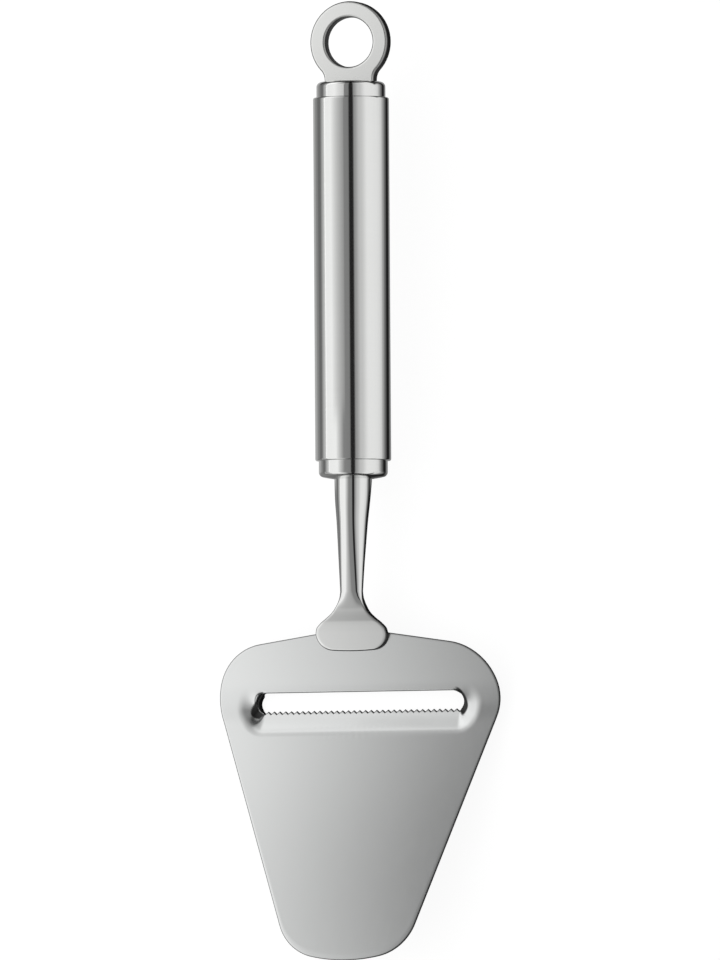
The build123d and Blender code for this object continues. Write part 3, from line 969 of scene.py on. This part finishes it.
neckShank = {
    # sizes in millimetres, as on the plate
    "capStart": 3.4,
    "run": 27.4,
    "waistAt": 31.0,
    "lift": 1.8,
    "diameter": 9.05,
    "waistWidth": 5.5,
    "waistThickness": 3.1,
    "waistSquare": 2.5,
    "pointSquare": 4.0,
    "flatFrom": 0.1,
    "flatFull": 0.5,
    "footEdge": 0.35,
    "footEdgeShade": 0.25,
    "footWidth": 17.8,
    "footThickness": 1.9,
    "footGrind": 0.12,
    "footSeat": 0.02,
    "flareRun": 10.0,
    "pad": 4.1,
    "corner": 4.0,
    "bow": 0.6,
    "tangStart": 1.0,
    "rowGap": 0.02,
    "thinnest": 0.002,
    "seatFrom": 0.9,
    "around": 96,
    "wallShare": 24,
    "cornerSteps": 16,
    "bowSteps": 24,
    "neckRows": 60,
    "flareRows": 50,
    # growth in width, growth in thickness, lift left, from the waist up to the cap
    "neckShares": [
        (0.0, 0.00, 0.00, 1.00), (0.2, 0.17, 0.18, 0.91), (0.4, 0.36, 0.40, 0.73), (0.6, 0.56, 0.61, 0.54),
        (0.8, 0.83, 0.81, 0.33), (1.0, 1.00, 1.00, 0.00),
    ],
    # from the waist to the foot: growth in width, change in thickness, how far it lies on the plate,
    # how square
    "flareShares": [
        (0.000, 0.000, 0.00, 0.000, 2.5), (0.125, 0.016, 0.08, 0.000, 3.2),
        (0.250, 0.065, 0.20, 0.010, 4.5), (0.375, 0.155, 0.40, 0.060, 6.5),
        (0.500, 0.295, 0.60, 0.200, 10.), (0.625, 0.520, 0.80, 0.430, 15.),
        (0.750, 0.775, 0.93, 0.720, 21.), (0.875, 0.950, 1.00, 0.930, 26.),
        (1.000, 1.000, 1.00, 1.000, 28.),
    ],
}


def easedTable(table, places):
    # smooth curve through each column of an evenly spaced table, without overshoot
    table = np.array(table)
    at = table[:, 0]
    columns = []
    for values in table[:, 1:].T:
        step = at[1] - at[0]
        rise = np.diff(values) / step
        slope = np.zeros(len(values))
        same = rise[1:] * rise[:-1] > 0
        slope[1:-1][same] = 2 * rise[1:][same] * rise[:-1][same] / (rise[1:] + rise[:-1])[same]
        slope[0], slope[-1] = rise[0], rise[-1]
        cell = np.clip(((places - at[0]) / step).astype(int), 0, len(at) - 2)
        t = (places - at[cell]) / step
        low, high = values[cell], values[cell + 1]
        columns.append(
            low * (1 + 2 * t) * (1 - t) ** 2
            + high * t**2 * (3 - 2 * t)
            + step * (slope[cell] * t * (1 - t) ** 2 + slope[cell + 1] * t**2 * (t - 1))
        )
    return columns


def distanceTo(line, x, y):
    # distance of each point from a line of points
    start, run = line[:-1], np.diff(line, axis=0)
    toX, toY = x[..., None] - start[:, 0], y[..., None] - start[:, 1]
    share = np.clip((toX * run[:, 0] + toY * run[:, 1]) / (run**2).sum(1), 0, 1)
    return np.hypot(toX - share * run[:, 0], toY - share * run[:, 1]).min(-1)


def footOutline(n, footY):
    # right half of the foot's end, round its corner and along its bow
    endY = footY - n["pad"]
    half = n["footWidth"] / 2
    bowRadius = (half**2 + n["bow"] ** 2) / (2 * n["bow"])
    cornerX = half - n["corner"]
    cornerY = endY + bowRadius - math.sqrt((bowRadius - n["corner"]) ** 2 - cornerX**2)
    turn = math.atan2(cornerX, endY + bowRadius - cornerY)
    outline = []
    for k in range(n["cornerSteps"] + 1):
        angle = (math.pi / 2 - turn) * k / n["cornerSteps"]
        outline.append((cornerX + n["corner"] * math.cos(angle), cornerY - n["corner"] * math.sin(angle)))
    for k in range(1, n["bowSteps"] + 1):
        angle = turn * (1 - k / n["bowSteps"])
        outline.append((bowRadius * math.sin(angle), endY + bowRadius - bowRadius * math.cos(angle)))
    return outline


def seatOf(n, p, y, high):
    # middle height of a section that lies on the plate
    return float(sheetHeight(p, np.array(y))) + n["footSeat"] - n["footGrind"] + high / 2


def neckRows(n, p):
    rows = []                       # y, middle height, width, thickness, squareness, flatness
    places = np.linspace(1, 0, n["neckRows"])
    width, thick, lift = easedTable(n["neckShares"], places)
    waistY = -n["waistAt"]
    for at, w, t, up in zip(places, width, thick, lift):
        wide = n["waistWidth"] + (n["diameter"] - n["waistWidth"]) * w
        high = n["waistThickness"] + (n["diameter"] - n["waistThickness"]) * t
        square = 2 + (n["waistSquare"] - 2) * (1 - at) ** 3
        rows.append((waistY + n["run"] * at, n["lift"] * up, wide, high, square, 0))
    rows.insert(0, (-n["capStart"] + n["tangStart"], 0, n["diameter"], n["diameter"], 2.0, 0))
    places = np.linspace(0, 1, n["flareRows"])[1:]
    width, thick, seated, square = easedTable(n["flareShares"], places)
    side = []                       # outline of the flare and the foot, from above
    for at, w, t, down, corner in zip(places, width, thick, seated, square):
        y = waistY - n["flareRun"] * at
        wide = n["waistWidth"] + (n["footWidth"] - n["waistWidth"]) * w
        high = n["waistThickness"] + (n["footThickness"] - n["waistThickness"]) * t
        seat = seatOf(n, p, y, high)
        flat = float(softStep((at - n["flatFrom"]) / (n["flatFull"] - n["flatFrom"])))
        rows.append((y, n["lift"] + (seat - n["lift"]) * down, wide, high, corner, flat))
        side.append((wide / 2, y))
    # the foot's end follows its round corners and its bow
    footY = waistY - n["flareRun"]
    high, square = n["footThickness"], n["flareShares"][-1][4]
    for x, y in footOutline(n, footY):
        if y < footY - n["rowGap"]:
            rows.append((y, seatOf(n, p, y, high), max(2 * x, n["thinnest"]), high, square, 1))
            side.append((x, y))
    return np.array(rows), np.array(side)


def makeNeckShank(n, p):
    rows, side = neckRows(n, p)
    turns = 2 * math.pi * np.arange(n["around"]) / n["around"]
    cos, sin = np.cos(turns)[None, :], np.sin(turns)[None, :]
    square = rows[:, 4:5]
    power = 2 / np.minimum(square, n["pointSquare"])
    across = np.sign(cos) * np.abs(cos) ** power
    upward = np.sign(sin) * np.abs(sin) ** power
    push = (np.abs(across) ** square + np.abs(upward) ** square) ** (-1 / square)
    y = np.repeat(rows[:, 0:1], n["around"], 1)
    # the flare and the foot have flat faces that round off toward their outline
    halfWide, halfHigh, flat = rows[:, 2:3] / 2, rows[:, 3:4] / 2, rows[:, 5:6]
    quarter, wall = n["around"] // 4, n["around"] // n["wallShare"]
    step = np.arange(n["around"]) % (2 * quarter)
    step = np.where(step > quarter, 2 * quarter - step, step)[None, :]
    edge = np.minimum(n["footEdge"], halfWide)
    turned = np.clip((step - wall) / (2 * wall), 0, 1) * math.pi / 2
    inward = np.clip((step - 3 * wall) / (quarter - 3 * wall), 0, 1)
    onEdge, onFace = halfWide - edge * (1 - np.cos(turned)), (halfWide - edge) * (1 - inward)
    oblongX = np.sign(cos) * np.where(step < 3 * wall, onEdge, onFace)
    away = distanceTo(side, np.abs(oblongX), y)
    sink = n["footEdge"] - np.sqrt(n["footEdge"] ** 2 - np.maximum(n["footEdge"] - away, 0) ** 2)
    onWall = (halfHigh - n["footEdge"]) * step / wall
    oblongZ = np.sign(sin) * np.where(step < wall, onWall, halfHigh - sink)
    x = across * push * halfWide * (1 - flat) + oblongX * flat
    z = rows[:, 1:2] + upward * push * halfHigh * (1 - flat) + oblongZ * flat
    # painted shade along the outline of the flare and the foot
    marks = flat * np.clip((n["footEdgeShade"] - away) / n["footEdgeShade"] * 2, 0, 1)
    # the underside is flat where it lies on the plate
    seatHeight = sheetHeight(p, y) + n["footSeat"]
    z = np.where(y < -p["rear"] + n["seatFrom"], np.maximum(z, seatHeight), z)
    points = np.stack([x, y, z], -1) * mm
    # both ends close on their middle point
    first = np.repeat(points[:1].mean(1, keepdims=True), n["around"], 1)
    last = np.repeat(points[-1:].mean(1, keepdims=True), n["around"], 1)
    points = np.concatenate([first, points, last])
    marks = np.concatenate([marks[:1], marks, marks[-1:]])
    around, along = n["around"], len(points)

    def pointAt(column, row):
        return points[row, column % around]

    def markAt(column, row):
        return marks[row, column % around]

    neck = gridPiece("neckForging", around, along - 1, pointAt, markAt)
    smoothAll(neck, smoothUnder["drawn"])
    finishPiece(neck, "neck_shank", finishes["neck_steel"])


makeNeckShank(neckShank, bladePlate)

print("welds")
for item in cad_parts.values():
    for place in item.material_slots:
        place.material = finishes.get(place.material.name.split(".")[0], place.material)
